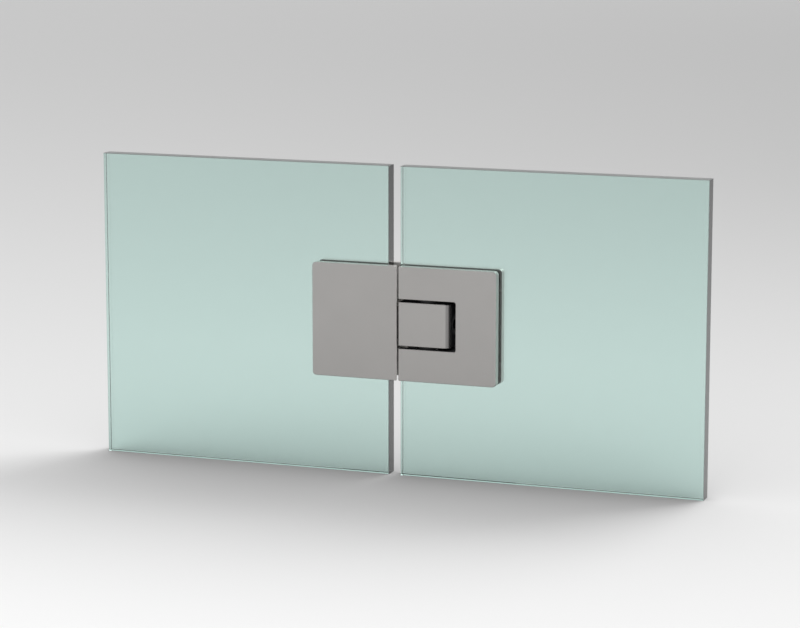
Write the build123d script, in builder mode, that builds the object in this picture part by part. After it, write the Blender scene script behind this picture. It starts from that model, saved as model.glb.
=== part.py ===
from build123d import *
import os

# A 180 degree glass-to-glass door hinge, clamped on two panes of 12 mm glass.
#
# The fixed leaf holds one pane and carries a pivot block. The door leaf holds the other pane, has a
# window cut through it for the block, and turns on a pin that runs up and down through the block. A
# sprung plunger in the block presses on flats of the pin, so that the door comes to rest closed or
# square to the fixed pane.
#
# X runs along the panes with the door on the plus side, Y from the plain front to the screwed back,
# and Z up. The origin is on the ground, midway between the panes and in the middle of the glass.

# Glass
pane_width = 250
pane_height = 250
glass_thickness = 12
pane_gap = 10
arris = 0.3

# Leaves
leaf_height = 92
leaf_corner_radius = 3
seam_corner_radius = 0.8
plate_thickness = 7
plate_edge_chamfer = 0.4
gasket_thickness = 1
gasket_inset = 2
seam_land = 1
seam_relief = 2.3
fixed_leaf_left = -67.5
fixed_leaf_right = 4.5
door_leaf_left = 6
door_leaf_right = 87.5
hinge_height = pane_height / 2
clamp_half_gap = glass_thickness / 2 + gasket_thickness
half_depth = clamp_half_gap + plate_thickness

# Cut-outs in the glass, covered by the leaves
notch_corner_radius = 10
fixed_notch_depth = 45
fixed_notch_height = 64
door_notch_depth = 55
door_notch_height = 76

# Pivot block: a head as deep as the hinge, and a tongue with a foot that the fixed leaf grips
head_width = 43
head_height = 35
head_end_radius = 5
head_edge_chamfer = 0.3
tongue_height = 26
foot_width = 18.5
foot_height = 60
foot_corner_radius = 4
root_radius = 1.5
head_left = door_leaf_left
head_right = head_left + head_width
pivot_x = head_left + head_width / 2
foot_x = (fixed_leaf_left + fixed_leaf_right) / 2

# Window in the door leaf, open towards the seam
window_height = 40
window_end_gap = 5
window_corner_radius = 1.5
window_right = head_right + window_end_gap
window_overcut = 1

# Pin, its bushes and the bosses of the door leaf that hold its ends
pin_radius = 6
pin_length = 65
pin_chamfer = 0.3
running_clearance = 0.05
cam_flat_distance = 5.5
cam_height = 16
cam_cutter_radius = 7
grub_flat_distance = 5
grub_flat_height = 12
bush_outer_radius = 8
bush_flange_radius = 10
bush_length = 8.5
bush_flange_thickness = (window_height - head_height) / 2 - running_clearance
boss_left = 11.5
boss_right = 56
boss_height = 15
boss_corner_radius = 2
boss_middle = (window_height + boss_height) / 2

# Sprung plunger
plunger_radius = 7
plunger_length = 7.5
plunger_lead = 0.3
plug_radius = 8
plug_length = 5.4
plug_recess = 0.3
plug_socket_width = 8
plug_socket_depth = 3
plug_chamfer = 0.3
disc_count = 2
disc_outer_radius = 6.2
disc_inner_radius = 3.1
disc_thickness = 0.7
disc_cone_height = 0.38
disc_gap = 0.02

# Clamp screws and grub screws
screw_radius = 3
screw_head_radius = 6
screw_socket_width = 4
screw_socket_depth = 2.4
thread_clearance = 0.05
shank_clearance = 0.2
head_clearance = 0.02
tapped_depth = 5.6
screw_end_gap = 0.3
countersink_angle = 90
grub_length = 8.6
grub_radius = 3
grub_socket_width = 3
grub_socket_depth = 3.5
fixed_clamp_z = 22.5
door_clamp_x = 50
door_clamp_z = 28.5

# Planes that lie along the leaves. On the front ones the plane's y is up, and on the back one it is
# down, which makes no difference to rows that are the same above and below the middle.
mid_plane = Plane(origin=(0, 0, hinge_height), x_dir=(1, 0, 0), z_dir=(0, -1, 0))
front_face = mid_plane.offset(half_depth)
front_inner_face = mid_plane.offset(clamp_half_gap)
back_inner_face = mid_plane.offset(-clamp_half_gap)
back_face = Plane(origin=(0, half_depth, hinge_height), x_dir=(1, 0, 0), z_dir=(0, 1, 0))

os.makedirs("parts", exist_ok=True)


def finish(part, name):
    """Name a finished piece and write its file."""
    part.label = name
    export_step(part, f"parts/{name}.step")


def leaf_outline(left, right, seam_on_right):
    """Outline of a leaf: well rounded at its outer corners and barely at the seam."""
    with BuildSketch() as outline:
        with Locations(((left + right) / 2, 0)):
            Rectangle(right - left, leaf_height)
        seam_corners = outline.vertices().group_by(Axis.X)[-1 if seam_on_right else 0]
        fillet(seam_corners, seam_corner_radius)
        outer_corners = outline.vertices().group_by(Axis.X)[0 if seam_on_right else -1]
        fillet(outer_corners, leaf_corner_radius)
    return outline.sketch


def notch_outline(edge_x, depth, height):
    """Cut-out that starts at a pane's edge and goes in by depth, to the left if it is negative."""
    with BuildSketch() as outline:
        with Locations((edge_x + depth / 2, 0)):
            Rectangle(abs(depth), height)
        blind_corners = outline.vertices().group_by(Axis.X)[-1 if depth > 0 else 0]
        fillet(blind_corners, notch_corner_radius)
        with Locations((edge_x, 0)):
            Rectangle(pane_gap, height)
    return outline.sketch


def window_outline():
    """Window of the door leaf: open at the seam, with small corners at its closed end."""
    with BuildSketch() as outline:
        with Locations(((head_left + window_right) / 2, 0)):
            Rectangle(window_right - head_left, window_height)
        fillet(outline.vertices().group_by(Axis.X)[-1], window_corner_radius)
        with Locations((head_left, 0)):
            Rectangle(2 * window_overcut, window_height)
    return outline.sketch


def countersunk_screw(length):
    """Hexagon socket countersunk screw: its head's top is at the origin and it points down."""
    top_radius = screw_head_radius - head_clearance
    cone_height = top_radius - screw_radius
    with BuildPart() as screw:
        with BuildSketch(Plane.XZ):
            with BuildLine():
                Polyline(
                    (0, 0),
                    (top_radius, 0),
                    (screw_radius, -cone_height),
                    (screw_radius, -length),
                    (0, -length),
                    close=True,
                )
            make_face()
        revolve(axis=Axis.Z)
        with BuildSketch(Plane.XY):
            RegularPolygon(screw_socket_width / 2, 6, major_radius=False)
        extrude(amount=-screw_socket_depth, mode=Mode.SUBTRACT)
    return screw.part


def place_copies(piece, plane, spots):
    """Copies of one piece on a plane, as a group of separate solids."""
    with BuildPart(plane) as group:
        with Locations(*spots):
            add(piece)
    return group.part


def drill(plane, spots, radius, depth):
    """Straight holes that go down from a plane into the part being built."""
    with BuildSketch(plane) as mouths:
        with Locations(*spots):
            Circle(radius)
    extrude(mouths.sketch, amount=-depth, mode=Mode.SUBTRACT)


def countersink(plane, spots):
    """Clearance holes with seats for the clamp screws, which go in from a plane."""
    seats = [plane.location * Location((x, y)) for x, y in spots]
    with Locations(*seats):
        CounterSinkHole(
            screw_radius + shank_clearance,
            screw_head_radius,
            counter_sink_angle=countersink_angle,
        )


def above_and_below(x, distance):
    """Two spots on a leaf's plane, one above and one below the middle."""
    return [(x, distance), (x, -distance)]


fixed_outline = leaf_outline(fixed_leaf_left, fixed_leaf_right, seam_on_right=True)
door_outline = leaf_outline(door_leaf_left, door_leaf_right, seam_on_right=False)
fixed_notch = notch_outline(-pane_gap / 2, -fixed_notch_depth, fixed_notch_height)
door_notch = notch_outline(pane_gap / 2, door_notch_depth, door_notch_height)
window = window_outline()

fixed_clamp_spots = above_and_below(foot_x, fixed_clamp_z)
door_clamp_spots = above_and_below(door_clamp_x, door_clamp_z)
grub_spots = above_and_below(pivot_x, boss_middle)
boss_spots = above_and_below((boss_left + boss_right) / 2, boss_middle)

# ---------------------------------------------------------------- glass panes


def glass_pane(middle_x, notch):
    """Pane with a covered cut-out in its edge and every sharp edge taken off."""
    with BuildPart() as pane:
        with BuildSketch(mid_plane):
            with Locations((middle_x, 0)):
                Rectangle(pane_width, pane_height)
            add(notch, mode=Mode.SUBTRACT)
        extrude(amount=glass_thickness / 2, both=True)
        chamfer(pane.faces().filter_by(Axis.Y).edges(), arris)
    return pane.part


pane_middle = (pane_gap + pane_width) / 2
finish(glass_pane(-pane_middle, fixed_notch), "fixed_glass_pane")
finish(glass_pane(pane_middle, door_notch), "door_glass_pane")

# ---------------------------------------------------------------- gaskets


def gasket(left, right, seam_on_right, notch, plane):
    """Flat gasket between a plate and the glass, set in from the leaf's edge and cut away at the notch."""
    with BuildPart() as sheet:
        with BuildSketch(plane):
            add(leaf_outline(left, right, seam_on_right))
            offset(amount=-gasket_inset)
            add(notch, mode=Mode.SUBTRACT)
        extrude(amount=gasket_thickness)
    return sheet.part


front_glass_face = mid_plane.offset(glass_thickness / 2)
fixed_gasket_right = -pane_gap / 2
finish(
    gasket(fixed_leaf_left, fixed_gasket_right, True, fixed_notch, front_glass_face),
    "fixed_front_gasket",
)
finish(
    gasket(fixed_leaf_left, fixed_gasket_right, True, fixed_notch, back_inner_face),
    "fixed_back_gasket",
)
finish(
    gasket(door_leaf_left, door_leaf_right, False, door_notch, front_glass_face),
    "door_front_gasket",
)
finish(
    gasket(door_leaf_left, door_leaf_right, False, door_notch, back_inner_face),
    "door_back_gasket",
)

# ---------------------------------------------------------------- fixed leaf plates


def relieve_seam(side):
    """Slope a fixed plate's seam edge back from its outer land, clear of the swinging door leaf."""
    with BuildSketch(Plane.XY.offset(hinge_height)) as wedge:
        with BuildLine():
            Polyline(
                (fixed_leaf_right, side * (half_depth - seam_land)),
                (fixed_leaf_right, side * clamp_half_gap),
                (fixed_leaf_right - seam_relief, side * clamp_half_gap),
                close=True,
            )
        make_face()
    extrude(wedge.sketch, amount=leaf_height, both=True, mode=Mode.SUBTRACT)


with BuildPart() as fixed_front_plate:
    with BuildSketch(front_face):
        add(fixed_outline)
    extrude(amount=-plate_thickness)
    chamfer(fixed_front_plate.faces().sort_by(Axis.Y)[0].edges(), plate_edge_chamfer)
    relieve_seam(-1)
    drill(
        front_inner_face.rotated((180, 0, 0)),
        fixed_clamp_spots,
        screw_radius + thread_clearance,
        tapped_depth,
    )
finish(fixed_front_plate.part, "fixed_front_plate")

with BuildPart() as fixed_back_plate:
    with BuildSketch(back_face):
        add(fixed_outline)
    extrude(amount=-plate_thickness)
    chamfer(fixed_back_plate.faces().sort_by(Axis.Y)[-1].edges(), plate_edge_chamfer)
    relieve_seam(1)
    countersink(back_face, fixed_clamp_spots)
finish(fixed_back_plate.part, "fixed_back_plate")

# ---------------------------------------------------------------- door leaf plates

with BuildPart() as door_front_plate:
    with BuildSketch(front_face):
        add(door_outline)
        add(window, mode=Mode.SUBTRACT)
    extrude(amount=-plate_thickness)
    chamfer(door_front_plate.faces().sort_by(Axis.Y)[0].edges(), plate_edge_chamfer)
    drill(
        front_inner_face.rotated((180, 0, 0)),
        door_clamp_spots,
        screw_radius + thread_clearance,
        tapped_depth,
    )
finish(door_front_plate.part, "door_front_plate")

with BuildPart() as door_back_plate:
    with BuildSketch(back_face):
        add(door_outline)
        add(window, mode=Mode.SUBTRACT)
    extrude(amount=-plate_thickness)
    chamfer(door_back_plate.faces().sort_by(Axis.Y)[-1].edges(), plate_edge_chamfer)
    with BuildSketch(back_inner_face) as boss_outlines:
        with Locations(*boss_spots):
            Rectangle(boss_right - boss_left, boss_height)
        for end in (0, -1):
            fillet(boss_outlines.vertices().group_by(Axis.Y)[end], boss_corner_radius)
    extrude(amount=2 * clamp_half_gap)
    with BuildSketch(Plane.XY.offset(hinge_height)):
        with Locations((pivot_x, 0)):
            Circle(pin_radius + thread_clearance)
    extrude(amount=window_height / 2 + boss_height, both=True, mode=Mode.SUBTRACT)
    countersink(back_face, door_clamp_spots)
    drill(back_face, grub_spots, grub_radius + thread_clearance, half_depth)
finish(door_back_plate.part, "door_back_plate")

# ---------------------------------------------------------------- pivot block

with BuildPart() as pivot_block:
    with BuildSketch(Plane.XY.offset(hinge_height - head_height / 2)) as head_section:
        with Locations((pivot_x, 0)):
            Rectangle(head_width, 2 * half_depth)
        fillet(head_section.vertices().group_by(Axis.X)[0], seam_corner_radius)
        fillet(head_section.vertices().group_by(Axis.X)[-1], head_end_radius)
    extrude(amount=head_height)
    for end in (0, -1):
        chamfer(pivot_block.faces().sort_by(Axis.Z)[end].edges(), head_edge_chamfer)
    with BuildSketch(front_inner_face) as tongue_outline:
        with Locations((foot_x, 0)):
            Rectangle(foot_width, foot_height)
        fillet(tongue_outline.vertices().group_by(Axis.X)[0], foot_corner_radius)
        with Locations(((foot_x + pivot_x) / 2, 0)):
            Rectangle(pivot_x - foot_x, tongue_height)
    extrude(amount=-2 * clamp_half_gap)
    seam_faces = pivot_block.faces().filter_by(Plane.YZ).group_by(Axis.X)[-2]
    fillet(seam_faces[0].inner_wires().edges(), root_radius)
    drill(
        Plane.XY.offset(hinge_height + head_height / 2),
        [(pivot_x, 0)],
        bush_outer_radius,
        head_height,
    )
    end_face = Plane.YZ.offset(head_right)
    drill(
        end_face,
        [(0, hinge_height)],
        plunger_radius,
        head_right - pivot_x,
    )
    drill(
        end_face,
        [(0, hinge_height)],
        plug_radius + thread_clearance,
        plug_length + plug_recess,
    )
    drill(
        front_inner_face,
        fixed_clamp_spots,
        screw_radius + shank_clearance,
        2 * clamp_half_gap,
    )
finish(pivot_block.part, "pivot_block")

# ---------------------------------------------------------------- bushes and plunger


def flanged_bush(level):
    """Bush in one end of the block's bore, its flange between the block and the door leaf."""
    end_plane = Plane(origin=(pivot_x, 0, hinge_height + level * head_height / 2))
    with BuildPart() as bush:
        with BuildSketch(end_plane):
            Circle(bush_flange_radius)
        extrude(amount=level * bush_flange_thickness)
        with BuildSketch(end_plane):
            Circle(bush_outer_radius)
        extrude(amount=-level * bush_length)
        with BuildSketch(end_plane.offset(level * bush_flange_thickness)):
            Circle(pin_radius + running_clearance)
        extrude(
            amount=-level * (bush_flange_thickness + bush_length),
            mode=Mode.SUBTRACT,
        )
    return bush.part


finish(flanged_bush(1), "upper_pin_bush")
finish(flanged_bush(-1), "lower_pin_bush")

plunger_nose = pivot_x + pin_radius + running_clearance
plunger_axis_plane = Plane(
    origin=(plunger_nose, 0, hinge_height), x_dir=(0, 1, 0), z_dir=(1, 0, 0)
)
with BuildPart() as detent_plunger:
    with BuildSketch(plunger_axis_plane):
        Circle(plunger_radius - running_clearance)
    extrude(amount=plunger_length)
    chamfer(detent_plunger.faces().sort_by(Axis.X)[0].edges(), plunger_lead)
finish(detent_plunger.part, "detent_plunger")

# Two disc springs with their rims together, so that each bears on its outer side with its bore.
disc_pitch = disc_thickness + disc_cone_height + disc_gap
springs_start = plunger_nose + plunger_length
with BuildPart() as detent_disc_springs:
    for number in range(disc_count):
        base = springs_start + disc_gap + number * disc_pitch
        rim = disc_cone_height if number % 2 == 0 else 0
        bore = disc_cone_height - rim
        with BuildSketch(Plane.XY.offset(hinge_height)):
            with BuildLine():
                Polyline(
                    (base + bore, disc_inner_radius),
                    (base + bore + disc_thickness, disc_inner_radius),
                    (base + rim + disc_thickness, disc_outer_radius),
                    (base + rim, disc_outer_radius),
                    close=True,
                )
            make_face()
        revolve(axis=Axis((0, 0, hinge_height), (1, 0, 0)))
finish(detent_disc_springs.part, "detent_disc_springs")

plug_outer_plane = Plane(
    origin=(head_right - plug_recess, 0, hinge_height), x_dir=(0, 1, 0), z_dir=(1, 0, 0)
)
with BuildPart() as detent_plug:
    with BuildSketch(plug_outer_plane):
        Circle(plug_radius)
    extrude(amount=-plug_length)
    chamfer(detent_plug.faces().sort_by(Axis.X)[-1].edges(), plug_chamfer)
    with BuildSketch(plug_outer_plane):
        RegularPolygon(plug_socket_width / 2, 6, major_radius=False)
    extrude(amount=-plug_socket_depth, mode=Mode.SUBTRACT)
finish(detent_plug.part, "detent_plug")

# ---------------------------------------------------------------- pin

with BuildPart() as pivot_pin:
    with BuildSketch(Plane.XY.offset(hinge_height - pin_length / 2)):
        with Locations((pivot_x, 0)):
            Circle(pin_radius)
    extrude(amount=pin_length)
    chamfer(pivot_pin.edges().filter_by(GeomType.CIRCLE), pin_chamfer)
    with BuildSketch(Plane.XY.offset(hinge_height - cam_height / 2)):
        with Locations((pivot_x, 0)):
            Circle(cam_cutter_radius)
            Rectangle(2 * cam_flat_distance, 2 * cam_flat_distance, mode=Mode.SUBTRACT)
    extrude(amount=cam_height, mode=Mode.SUBTRACT)
    for level in (-1, 1):
        with BuildSketch(Plane.XY.offset(hinge_height + level * pin_length / 2)):
            with Locations((pivot_x, grub_flat_distance + pin_radius)):
                Rectangle(2 * pin_radius, 2 * pin_radius)
        extrude(amount=-level * grub_flat_height, mode=Mode.SUBTRACT)
finish(pivot_pin.part, "pivot_pin")

# ---------------------------------------------------------------- fasteners

clamp_length = 2 * clamp_half_gap + plate_thickness + tapped_depth - screw_end_gap
clamp_screw = countersunk_screw(clamp_length)
finish(place_copies(clamp_screw, back_face, fixed_clamp_spots), "fixed_clamp_screws")
finish(place_copies(clamp_screw, back_face, door_clamp_spots), "door_clamp_screws")

with BuildPart() as grub_screw:
    with BuildSketch(Plane.XY):
        Circle(grub_radius)
    extrude(amount=-grub_length)
    with BuildSketch(Plane.XY):
        RegularPolygon(grub_socket_width / 2, 6, major_radius=False)
    extrude(amount=-grub_socket_depth, mode=Mode.SUBTRACT)
grub_plane = back_face.offset(grub_flat_distance + grub_length - half_depth)
finish(place_copies(grub_screw.part, grub_plane, grub_spots), "pin_grub_screws")
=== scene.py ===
# %% [markdown]
# # A glass door hinge, dressed for its picture
#
# The hinge arrives as solids from the CAD: two clear panes, two leaves that clamp them, and the
# pivot that joins the leaves. Their shapes and places are finished. This notebook gives each of
# them a finish, stands them on a studio floor, and sets up the light and the camera.
#
# Everything is in metres, X runs along the panes, Y goes away from the viewer and Z is up, so a
# place can be read from a solid's own box instead of guessed.

# %% Bring in the CAD solids
import math

import bpy
import numpy as np
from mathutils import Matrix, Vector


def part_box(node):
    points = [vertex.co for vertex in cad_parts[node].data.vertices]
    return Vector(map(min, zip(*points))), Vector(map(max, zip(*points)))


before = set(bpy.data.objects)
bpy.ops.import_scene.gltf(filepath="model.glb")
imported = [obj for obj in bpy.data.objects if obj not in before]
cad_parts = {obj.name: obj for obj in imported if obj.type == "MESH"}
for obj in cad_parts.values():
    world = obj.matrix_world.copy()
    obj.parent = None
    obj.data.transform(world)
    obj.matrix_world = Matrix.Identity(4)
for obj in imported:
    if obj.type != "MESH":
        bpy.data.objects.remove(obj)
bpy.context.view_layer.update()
MM = 0.001

# %% [markdown]
# ## Arithmetic for materials
#
# A material's pattern is worked out by nodes, and one sum can take five of them. Written as a
# Python expression it stays readable, so a small class wraps a node's output and turns `+`, `-`,
# `*` and `/` into Math nodes. The reflected forms let a plain number come first, as in `1 - mask`.


# %% A number worked out by nodes
class Number:
    """The output of a node, which takes part in Python expressions."""

    def __init__(self, finish, socket):
        self.finish = finish
        self.socket = socket

    def maths(self, operation, *others):
        """This number first, then the others, through one Math node."""
        settings = {"operation": operation}
        node = self.finish.add("Math", settings, dict(enumerate((self, *others))))
        return Number(self.finish, node.outputs[0])

    def __add__(self, other):
        return self.maths("ADD", other)

    __radd__ = __add__

    def __sub__(self, other):
        return self.maths("SUBTRACT", other)

    def __rsub__(self, other):
        return self * -1 + other

    def __mul__(self, other):
        return self.maths("MULTIPLY", other)

    __rmul__ = __mul__

    def __truediv__(self, other):
        return self.maths("DIVIDE", other)

    def __rtruediv__(self, other):
        return self.maths("POWER", -1) * other

    def __pow__(self, power):
        return self.maths("POWER", power)

    def __abs__(self):
        return self.maths("ABSOLUTE")

    def least(self, other):
        """The smaller of this number and the other."""
        return self.maths("MINIMUM", other)

    def most(self, other):
        """The larger of this number and the other."""
        return self.maths("MAXIMUM", other)

    def rise(self, start, end):
        """0 below start, 1 above end, and a smooth step between them."""
        settings = {"interpolation_type": "SMOOTHSTEP"}
        inputs = {"Value": self, "From Min": start, "From Max": end}
        node = self.finish.add("MapRange", settings, inputs)
        return Number(self.finish, node.outputs["Result"])


# %% [markdown]
# ## A finish is a material that is built up in steps
#
# Every finish here starts from the place of the point on its own piece, in Object coordinates, and
# from the direction its face points in. Both ride with the piece when the door swings, so the
# grain never slides over the metal. One method makes any node: it sets the node's own settings
# first, because they decide which sockets it has, and then fills the sockets with plain values or
# with the outputs of other nodes.


# %% A material and the nodes in it
class Finish:
    """A new material, with short ways to add nodes to it."""

    def __init__(self, name):
        self.material = bpy.data.materials.new(name)
        self.material.use_nodes = True
        self.tree = self.material.node_tree
        self.tree.nodes.clear()
        coordinates = self.add("TexCoord")
        self.place = coordinates.outputs["Object"]
        split = self.add("SeparateXYZ", inputs={"Vector": self.place})
        self.x, self.y, self.z = (Number(self, out) for out in split.outputs)
        facing = self.add("SeparateXYZ", inputs={"Vector": coordinates.outputs["Normal"]})
        self.facing_y = Number(self, facing.outputs["Y"])

    def add(self, kind, settings=None, inputs=None):
        """Add one node, with its settings first and then its sockets' values or links."""
        node = self.tree.nodes.new("ShaderNode" + kind)
        for name, value in (settings or {}).items():
            setattr(node, name, value)
        for name, value in (inputs or {}).items():
            socket = node.inputs[name]
            if isinstance(value, Number):
                value = value.socket
            if isinstance(value, bpy.types.NodeSocket):
                self.tree.links.new(value, socket)
            else:
                socket.default_value = value
        return node

    def noise(self, size, detail):
        """Soft random pattern from 0 to 1 whose lumps are about size across, in metres."""
        inputs = {"Vector": self.place, "Scale": 1 / size, "Detail": detail}
        return Number(self, self.add("TexNoise", {}, inputs).outputs[0])

    def blend(self, share, first, second):
        """A colour that goes from first to second as share goes from 0 to 1."""
        settings = {"data_type": "RGBA", "clamp_factor": True}
        first, second = ((*c, 1) if isinstance(c, tuple) else c for c in (first, second))
        node = self.add("Mix", settings, {0: share, 6: first, 7: second})
        return node.outputs[2]

    def relief(self, height, depth):
        """A normal that follows a height from 0 to 1, as deep as depth in metres."""
        return self.add("Bump", {}, {"Height": height, "Distance": depth}).outputs[0]

    def surface(self, inputs):
        """Finish the material with a Principled surface."""
        shader = self.add("BsdfPrincipled", {}, inputs)
        self.add("OutputMaterial", {}, {"Surface": shader.outputs[0]})
        return self.material


def tone(red, green, blue):
    """A colour as a screen shows it, from 0 to 255, turned to the light it stands for."""
    shares = np.array((red, green, blue)) / 255
    light = np.where(shares <= 0.04045, shares / 12.92, ((shares + 0.055) / 1.055) ** 2.4)
    return tuple(float(value) for value in light)


def dress(finish, *nodes):
    """Give the named solids a finish in place of the one they came with."""
    for name in nodes:
        for slot in bpy.data.objects[name].material_slots:
            slot.material = finish
    print(finish.name, "on", len(nodes), "solids")


# %% [markdown]
# ## The panes
#
# Float glass has a little iron in it, which takes out red light and leaves the green tint. Each
# pane is a real solid, so a Principled surface that lets all light through does most of the work.
# Real float glass bends light by 1.52. Here it is 2, because the stronger bend draws narrow bands
# at the edges and keeps the panes evenly bright. The faces are polished and the rim is grey:
# smooth on the upright ends, ground on top and on the small bevels beside the ends. Masks find
# each of them by the distance from the pane's own border. The foot is a trick too: seen through
# clear glass it drew a line that was too dark or too bright, so its face is opaque and pale.

# %% Clear green glass with a grey rim
GLASS_CLEAR = (0.61, 0.813, 0.763)
GLASS_RIM = tone(112, 120, 117)
GLASS_FOOT = tone(192, 202, 198)
GLASS_BEND = 2.0
SKIN = 0.04 * MM
BEVEL = 0.31 * MM
SOFT = 0.01 * MM
END_ROUGHNESS = 0.1
TOP_ROUGHNESS = 0.35
BEVEL_ROUGHNESS = 0.4
SMUDGE_SIZE = 60 * MM
SMUDGE_ROUGHNESS = 0.004


def pane_glass(node):
    """Glass for one pane: clear faces, a grey rim and an opaque foot."""
    glass = Finish(node + "_finish")
    low, high = (np.array(corner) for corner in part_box(node))
    middle = float(low[0] + high[0]) / 2
    to_side = float(high[0] - low[0]) / 2 - abs(glass.x - middle)
    to_top = float(high[2]) - glass.z
    ends = 1 - to_side.rise(SKIN, SKIN + SOFT)
    bevels = (1 - to_side.rise(BEVEL, BEVEL + 2 * SOFT)) - ends
    top = 1 - to_top.rise(BEVEL, BEVEL + 4 * SOFT)
    # Painted light: the foot's face is opaque and pale in place of what clear glass would show
    # there.
    foot = 1 - (glass.z - float(low[2])).rise(SKIN, SKIN + SOFT)
    colour = glass.blend(ends.most(top), GLASS_CLEAR, GLASS_RIM)
    smudge = glass.noise(SMUDGE_SIZE, 3)
    ground = top * TOP_ROUGHNESS + ends * END_ROUGHNESS + bevels * BEVEL_ROUGHNESS
    return glass.surface(
        {
            "Base Color": glass.blend(foot, colour, GLASS_FOOT),
            "Metallic": foot,
            "Roughness": ground + smudge * SMUDGE_ROUGHNESS,
            "IOR": GLASS_BEND,
            "Transmission Weight": 1.0,
        }
    )


for pane in ("fixed_glass_pane", "door_glass_pane"):
    dress(pane_glass(pane), pane)

# %% [markdown]
# ## Satin nickel
#
# The leaves and the pivot block are brass, ground smooth, bead blasted and nickel plated. Blasting
# leaves pits far too small to see one by one: they blur what the metal reflects. So most of the
# look is the roughness, and two layers of noise carry the rest: a fine grain under a millimetre
# for the pits, and a slow drift over centimetres, because no plating bath is quite even. Handling
# polishes the edges, where the metal is smoother and a touch brighter; the brighter colour there
# is partly real wear and partly a painted highlight.
#
# Three more steps are lighting tricks, and not finishes that such a hinge is known to have. The
# narrow side faces carry a painted highlight: they are a shade paler, because the plain room gives
# them little to reflect. The window's walls and the block's end and lids are painted black as
# painted shade, so the gap round the block reads as a dark line. The faces that look at the glass,
# and the fixed leaf's faces at the seam, carry painted light: they are pale and matt, because
# light dies out between metal walls and the slit would go black. The pale faces stop short of the
# window's end, where they would shine through the gap. Masks built from the pieces' own boxes tell
# the shader which face it is on. Neither kind is metal there, and no specular light is set for
# what is not metal, so both stay matt also where the eye grazes them.

# %% Blasted and plated metal
HINGE_LOW, HINGE_HIGH = (np.array(corner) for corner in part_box("fixed_front_plate"))
HINGE_HEIGHT = float(HINGE_LOW[2] + HINGE_HIGH[2]) / 2
HALF_DEPTH = float(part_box("pivot_block")[1][1])
CLAMP_HALF_GAP = float(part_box("door_back_gasket")[1][1])
BLOCK_END = float(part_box("pivot_block")[1][0])
SEAM_LEFT = float(HINGE_HIGH[0])
SEAM_RIGHT = float(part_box("door_front_plate")[0][0])
SEAM_MIDDLE = (SEAM_LEFT + SEAM_RIGHT) / 2
SEAM_SLOPE = 2.3 * MM
SEAM_HALF = (SEAM_RIGHT - SEAM_LEFT) / 2 + SEAM_SLOPE
WINDOW_HALF = 20 * MM
WINDOW_END_GAP = 5 * MM
BLOCK_HALF = 17.5 * MM
BLOCK_CORNER = 5 * MM
LID_RIM = 1.5 * MM
PAINTED_LIGHT_STOP_LENGTH = 12 * MM
PAINTED_LIGHT_STOP_HEIGHT = 8 * MM
EDGE = 0.1 * MM
NICKEL = tone(176, 174, 172)
NICKEL_DRIFT = tone(172, 170, 168)
NICKEL_WORN_AND_HIGHLIGHT = tone(192, 190, 187)
NICKEL_SIDE_PAINTED_LIGHT = tone(202, 200, 197)
NICKEL_PAINTED_SHADE = tone(60, 60, 62)
PAINTED_SLIT_LIGHT = tone(226, 224, 221)
PIT_SIZE = 0.35 * MM
PIT_DEPTH = 0.004 * MM
DRIFT_SIZE = 30 * MM
WEAR_WIDTH = 0.9 * MM
WEAR_PATCH = 6 * MM
WORN_SHARE = 0.5
WORN_POLISH = 0.12
SATIN_ROUGHNESS = 0.42
CORNER_PAINTED_SHADE = 0.4


def border_distance(finish, node):
    """How far a point is from the border of a plate that stands in the XZ plane, in metres."""
    low, high = (np.array(corner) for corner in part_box(node))
    middle = (low + high) / 2
    half = (high - low) / 2
    across = float(half[0]) - abs(finish.x - float(middle[0]))
    up = float(half[2]) - abs(finish.z - float(middle[2]))
    return across.least(up)


def window_walls(finish):
    """1 on the door leaf's window walls, which get painted shade, 0 on the rest of its plates."""
    end = BLOCK_END + WINDOW_END_GAP
    in_height = 1 - abs(finish.z - HINGE_HEIGHT).rise(WINDOW_HALF, WINDOW_HALF + EDGE)
    in_length = 1 - finish.x.rise(end, end + EDGE)
    in_depth = 1 - abs(finish.y).rise(HALF_DEPTH - 5 * EDGE, HALF_DEPTH - 3 * EDGE)
    return in_height * in_length * in_depth


def block_sides(finish):
    """Painted shade: 1 on the block's end, top and bottom, fading out over its rounded corners, 0
    elsewhere.
    """
    depth = abs(finish.y)
    corner = HALF_DEPTH - BLOCK_CORNER
    rim = HALF_DEPTH - LID_RIM
    on_corner = 1 - depth.rise(HALF_DEPTH - 5 * EDGE, HALF_DEPTH - EDGE)
    past_corner = 1 - depth.rise(corner + 4 * EDGE, corner + 7 * EDGE)
    at_end = finish.x.rise(BLOCK_END - BLOCK_CORNER - EDGE, BLOCK_END - BLOCK_CORNER + EDGE)
    lid = abs(finish.z - HINGE_HEIGHT).rise(BLOCK_HALF - EDGE, BLOCK_HALF - EDGE / 2)
    inside_rim = 1 - depth.rise(rim - 2 * EDGE, rim)
    end = on_corner * CORNER_PAINTED_SHADE + past_corner * (1 - CORNER_PAINTED_SHADE)
    return (end * at_end).most(lid * inside_rim)


def clamping_faces(finish):
    """Pale painted light: 1 on the faces that look at the glass, except round the window's end,
    and 0 elsewhere.
    """
    deep = 1 - abs(finish.y).rise(CLAMP_HALF_GAP, CLAMP_HALF_GAP + EDGE)
    start = BLOCK_END - PAINTED_LIGHT_STOP_LENGTH
    near_end = finish.x.rise(start - MM, start)
    top = WINDOW_HALF + PAINTED_LIGHT_STOP_HEIGHT
    level = 1 - abs(finish.z - HINGE_HEIGHT).rise(top, top + MM)
    return deep * (1 - near_end * level)


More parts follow.
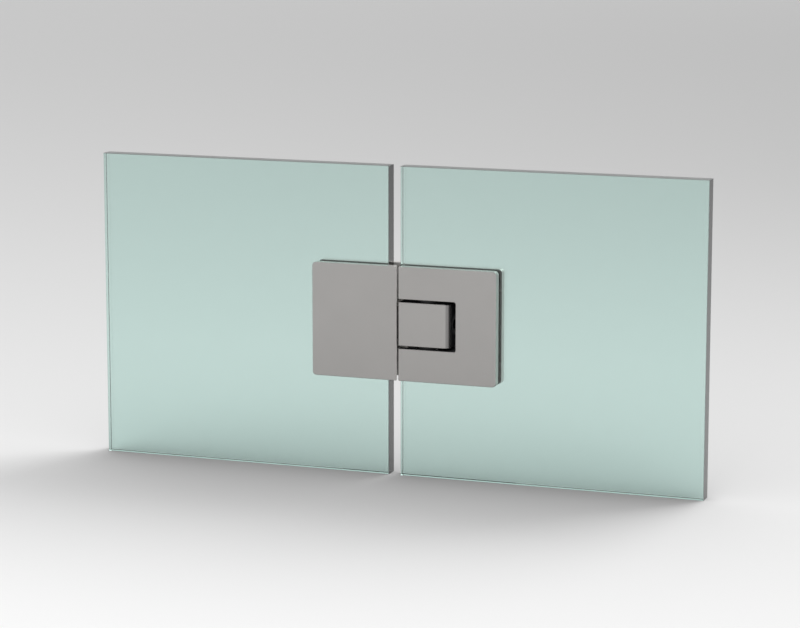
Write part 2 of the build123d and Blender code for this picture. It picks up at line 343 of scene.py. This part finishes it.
def inner_faces(finish):
    """Pale painted light: 1 on a leaf's faces that look at the glass and across the seam, 0 on its
    outside.
    """
    depth = abs(finish.y)
    across = 1 - abs(finish.x - SEAM_MIDDLE).rise(SEAM_HALF, SEAM_HALF + EDGE)
    across = across * (1 - depth.rise(HALF_DEPTH - 4 * EDGE, HALF_DEPTH - 3 * EDGE))
    past_block = abs(finish.z - HINGE_HEIGHT).rise(BLOCK_HALF, BLOCK_HALF + EDGE)
    return clamping_faces(finish).most(across * past_block)


def satin_nickel(node, painted_shade=None, painted_light=None):
    """Satin plate for one solid, polished and paler on its edges, with masks for painted shade and
    for pale painted light.
    """
    metal = Finish(node + "_finish")
    pits = metal.noise(PIT_SIZE, 2)
    drift = metal.noise(DRIFT_SIZE, 2)
    wear = 1 - border_distance(metal, node).rise(0, WEAR_WIDTH)
    # Edges worn by handling and made paler in colour: partly real wear, partly a painted
    # highlight.
    worn_and_highlight = wear * metal.noise(WEAR_PATCH, 3).rise(0.3, 0.7) * WORN_SHARE
    # Painted highlight: the narrow side faces are made a shade paler than the broad ones.
    painted_side_light = 1 - abs(metal.facing_y).rise(0.3, 0.6)
    colour = metal.blend(worn_and_highlight, metal.blend(drift, NICKEL, NICKEL_DRIFT), NICKEL_WORN_AND_HIGHLIGHT)
    colour = metal.blend(painted_side_light, colour, NICKEL_SIDE_PAINTED_LIGHT)
    unevenness = (pits - 0.5) * 0.12 + (drift - 0.5) * 0.04
    plated = 1.0
    if painted_shade:
        # Painted shade: the window's walls and the block's sides are turned dark and matt.
        black = painted_shade(metal)
        colour = metal.blend(black, colour, NICKEL_PAINTED_SHADE)
        plated = 1 - black**4
    if painted_light:
        # Painted light: faces in the slit and against the glass are turned pale and matt.
        painted_light_share = painted_light(metal)
        colour = metal.blend(painted_light_share, colour, PAINTED_SLIT_LIGHT)
        plated = plated * (1 - painted_light_share)
    return metal.surface(
        {
            "Base Color": colour,
            "Metallic": plated,
            "Specular IOR Level": 0.0,
            "Roughness": SATIN_ROUGHNESS + unevenness - worn_and_highlight * WORN_POLISH,
            "Normal": metal.relief(pits, PIT_DEPTH),
        }
    )


for part in ("fixed_front_plate", "fixed_back_plate"):
    dress(satin_nickel(part, painted_light=inner_faces), part)
for part in ("door_front_plate", "door_back_plate"):
    dress(satin_nickel(part, window_walls, clamping_faces), part)
dress(satin_nickel("pivot_block", block_sides), "pivot_block")

# %% [markdown]
# ## Rubber and plastic
#
# Sheet rubber keeps the metal off the glass, and the pin turns in moulded plastic bushes. Both are
# black. Rubber is dull with a faint bloom of grey; moulded plastic is a little glossier, with a
# fine spark-eroded texture from its mould.


# %% Black rubber and black plastic
def black_finish(name, shade, roughness, size, depth):
    """A black material with a fine texture and a slow change in its shade."""
    black = Finish(name)
    texture = black.noise(size, 3)
    bloom = black.noise(12 * MM, 2)
    return black.surface(
        {
            "Base Color": black.blend(bloom, tone(*[shade] * 3), tone(*[shade * 1.2] * 3)),
            "Roughness": roughness + (texture - 0.5) * 0.15,
            "Normal": black.relief(texture, depth),
        }
    )


dress(
    black_finish("gasket_rubber", 80, 0.7, 0.5 * MM, 0.02 * MM),
    "fixed_front_gasket",
    "fixed_back_gasket",
    "door_front_gasket",
    "door_back_gasket",
)
dress(
    black_finish("bush_plastic", 20, 0.45, 0.25 * MM, 0.01 * MM),
    "upper_pin_bush",
    "lower_pin_bush",
)

# %% [markdown]
# ## Turned metal
#
# The pin, the plug, the plunger, the springs and the screws come off a lathe. The tool leaves fine
# rings round the axis it turned on, and they catch the light as a fan. The rings are a wave on the
# distance from that axis, so each group of pieces is told where its axis is. The clamp screws sit
# in pairs, one above and one below the hinge's middle, and folding the height about the middle
# lets one pattern serve both.

# %% Metal with rings from the lathe
RING_PITCH = 0.35 * MM
PIN_RING_PITCH = 0.3 * MM
RING_DEPTH = 0.003 * MM


def waves(distance, pitch):
    """A wave from 0 to 1 that comes round once in each pitch: sin(2 pi distance / pitch)."""
    return (distance * (2 * math.pi / pitch)).maths("SINE") * 0.5 + 0.5


def lathe_rings(first, second):
    """Rings round the point where both numbers are 0: a wave on the root of their squares' sum."""
    return waves((first * first + second * second) ** 0.5, RING_PITCH)


def turned_metal(name, colour, roughness, rings):
    """A metal whose rings show in its roughness and, faintly, in its relief."""
    metal = Finish(name)
    marks = rings(metal)
    stain = metal.noise(3 * MM, 3)
    darker = tuple(value * 0.8 for value in colour)
    return metal.surface(
        {
            "Base Color": metal.blend(stain, colour, darker),
            "Metallic": 1.0,
            "Roughness": roughness + (marks - 0.5) * 0.1 + (stain - 0.5) * 0.1,
            "Normal": metal.relief(marks, RING_DEPTH),
        }
    )


def pair_rings(node):
    """Rings for two screws of one node, which stand above and below the hinge's middle."""
    low, high = (np.array(corner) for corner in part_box(node))
    middle = float(low[0] + high[0]) / 2
    radius = float(high[0] - low[0]) / 2
    height = float(high[2]) - radius - HINGE_HEIGHT

    def rings(finish):
        up = abs(finish.z - HINGE_HEIGHT) - height
        return lathe_rings(finish.x - middle, up)

    return rings


def pin_rings(finish):
    """Rings along the pin, which was turned about an upright axis: a wave on the height."""
    return waves(finish.z, PIN_RING_PITCH)


def level_rings(finish):
    """Rings for pieces that were turned about the level axis of the detent's bore."""
    return lathe_rings(finish.y, finish.z - HINGE_HEIGHT)


STEEL = tone(186, 186, 188)
BLACK_OXIDE = tone(14, 14, 16)
SPRING_STEEL = tone(120, 122, 128)
BRONZE = tone(190, 152, 98)
for screws in ("fixed_clamp_screws", "door_clamp_screws", "pin_grub_screws"):
    dress(turned_metal(screws + "_finish", STEEL, 0.32, pair_rings(screws)), screws)
dress(turned_metal("ground_pin_steel", STEEL, 0.2, pin_rings), "pivot_pin")
dress(turned_metal("black_oxide_steel", BLACK_OXIDE, 0.6, level_rings), "detent_plug")
dress(turned_metal("spring_steel", SPRING_STEEL, 0.4, level_rings), "detent_disc_springs")
dress(turned_metal("bearing_bronze", BRONZE, 0.35, level_rings), "detent_plunger")

# %% [markdown]
# ## The studio floor
#
# A product stands on a sweep of pale paper, so large that its far edge is out of sight. Such paper
# looks darker as it runs away from the lamps. More lamps could do that, but they would have to be
# moved for every view, so here the fall-off is painted shade written into the sheet's colour. The
# same formula takes out the bright patch that the lamp itself makes, and leaves a faint darker
# strip where the panes meet the paper, a painted contact shadow. The sheet lies a tenth of a
# millimetre below the panes, because two faces at exactly the same height fight over which of them
# the light meets first.

# %% A wide sheet of paper
FLOOR_REACH = 14.0
FLOOR_STEPS = 9
FLOOR_GAP = 0.1 * MM
PAPER_BASE = 0.57
PAPER_MOST = 0.87
FADE_START = -0.9
FADE_REACH = 2.5
FADE_SHARE = 0.41
GLARE_X, GLARE_Y = 0.8, 1.9
GLARE_REACH = 2.5
GLARE_SHARE = 0.44
CONTACT_INNER, CONTACT_OUTER = 0.24, 0.27
CONTACT_WIDTH = 0.03
CONTACT_SHADOW_SHARE = 0.19
FIBRE_SIZE = 4 * MM
FIBRE_SHARE = 0.004


def floor_sheet(reach, steps):
    """A level square sheet: x and y run evenly from -reach to reach on a grid, z = -FLOOR_GAP."""
    line = np.linspace(-reach, reach, steps)
    x, y = np.meshgrid(line, line, indexing="ij")
    points = np.stack([x, y, np.full_like(x, -FLOOR_GAP)], axis=-1).reshape(-1, 3)
    corner = np.arange(steps * steps).reshape(steps, steps)[:-1, :-1].ravel()
    faces = np.stack([corner, corner + steps, corner + steps + 1, corner + 1], axis=1)
    mesh = bpy.data.meshes.new("studio_floor")
    mesh.from_pydata(points.tolist(), [], faces.tolist())
    return bpy.data.objects.new("studio_floor", mesh)


def hump(squares, reach):
    """1 at the middle, and 1 / (1 + d**2 / reach**2) at distance d, given d**2 as a number."""
    return 1 / (squares / reach**2 + 1)


paper = Finish("studio_paper")
away = 1 / (paper.y.most(FADE_START) / FADE_REACH + 1)
glare = hump((paper.x - GLARE_X) ** 2 + (paper.y - GLARE_Y) ** 2, GLARE_REACH)
shade = (PAPER_BASE + away * FADE_SHARE - glare * GLARE_SHARE).least(PAPER_MOST)
# Painted contact shadow: the paper is darker in a strip where the panes stand.
beside = 1 - abs(paper.x).rise(CONTACT_INNER, CONTACT_OUTER)
contact_shadow = beside * hump(paper.y**2, CONTACT_WIDTH)
fibre = paper.noise(FIBRE_SIZE, 2)
level = shade * (1 - contact_shadow * CONTACT_SHADOW_SHARE) + (fibre - 0.5) * FIBRE_SHARE
paper_colour = paper.add("CombineColor", {}, {"Red": level, "Green": level, "Blue": level})
studio_floor = floor_sheet(FLOOR_REACH, FLOOR_STEPS)
studio_floor.data.materials.append(
    paper.surface(
        {
            "Base Color": paper_colour.outputs[0],
            "Roughness": 0.9,
            "Specular IOR Level": 0.1,
        }
    )
)
bpy.context.scene.collection.objects.link(studio_floor)
print("floor of", 2 * FLOOR_REACH, "m")

# %% [markdown]
# ## Light
#
# Soft light comes from everywhere in a white studio, so the world itself is the main lamp. A large
# lamp high behind the object, to the right, gives the light a side, and the object a shadow to the
# front and left. Light that glass bends on to a floor takes thousands of samples to settle, so it
# is switched off: the panes then shade the floor softly, as tinted glass does.

# %% World and lamp
WORLD_LEVEL = 0.9
LAMP_PLACE = (1.2, 2.1, 2.5)
LAMP_AIM = (0, 0, 0.1)
LAMP_SIZE = 2.0
LAMP_POWER = 55

world = bpy.data.worlds.new("studio")
world.use_nodes = True
sky = world.node_tree.nodes["Background"].inputs
sky["Color"].default_value = (1, 1, 1, 1)
sky["Strength"].default_value = WORLD_LEVEL
bpy.context.scene.world = world


def soft_lamp(name, place, aim, size, power):
    """A square lamp that faces the point it is aimed at."""
    light = bpy.data.lights.new(name, "AREA")
    light.size = size
    light.energy = power
    lamp = bpy.data.objects.new(name, light)
    x, y, z = np.array(aim) - np.array(place)
    lamp.location = place
    lamp.rotation_euler = (math.atan2(math.hypot(x, y), -z), 0, math.atan2(-x, y))
    bpy.context.scene.collection.objects.link(lamp)
    return lamp


soft_lamp("key_lamp", LAMP_PLACE, LAMP_AIM, LAMP_SIZE, LAMP_POWER)
bpy.context.scene.cycles.caustics_refractive = False
print("world at", WORLD_LEVEL, "and one lamp")

# %% [markdown]
# ## Camera
#
# The view is from the front, a little to the right and above, through a long lens that keeps the
# uprights nearly parallel. The camera is placed by the angle it looks along and its distance from
# the point it looks at, which is easier to picture and to adjust than three coordinates are.

# %% Camera to the right and above
CAMERA_YAW = math.radians(20.27)
CAMERA_PITCH = math.radians(10.01)
CAMERA_DISTANCE = 2.2378
CAMERA_AIM = np.array((2.36, 0, 130.5)) * MM
CAMERA_LENS = 126.08
SENSOR_WIDTH = 36
FAR_LIMIT = 60

ahead = np.array(
    (
        -math.sin(CAMERA_YAW) * math.cos(CAMERA_PITCH),
        math.cos(CAMERA_YAW) * math.cos(CAMERA_PITCH),
        -math.sin(CAMERA_PITCH),
    )
)
camera_data = bpy.data.cameras.new("camera")
camera_data.lens = CAMERA_LENS
camera_data.sensor_width = SENSOR_WIDTH
camera_data.clip_end = FAR_LIMIT
camera = bpy.data.objects.new("camera", camera_data)
camera.location = CAMERA_AIM - ahead * CAMERA_DISTANCE
camera.rotation_euler = (math.pi / 2 - CAMERA_PITCH, 0, CAMERA_YAW)
bpy.context.scene.collection.objects.link(camera)
bpy.context.scene.camera = camera
bpy.context.scene.view_settings.view_transform = "Standard"
print("camera at", [round(value, 3) for value in camera.location])
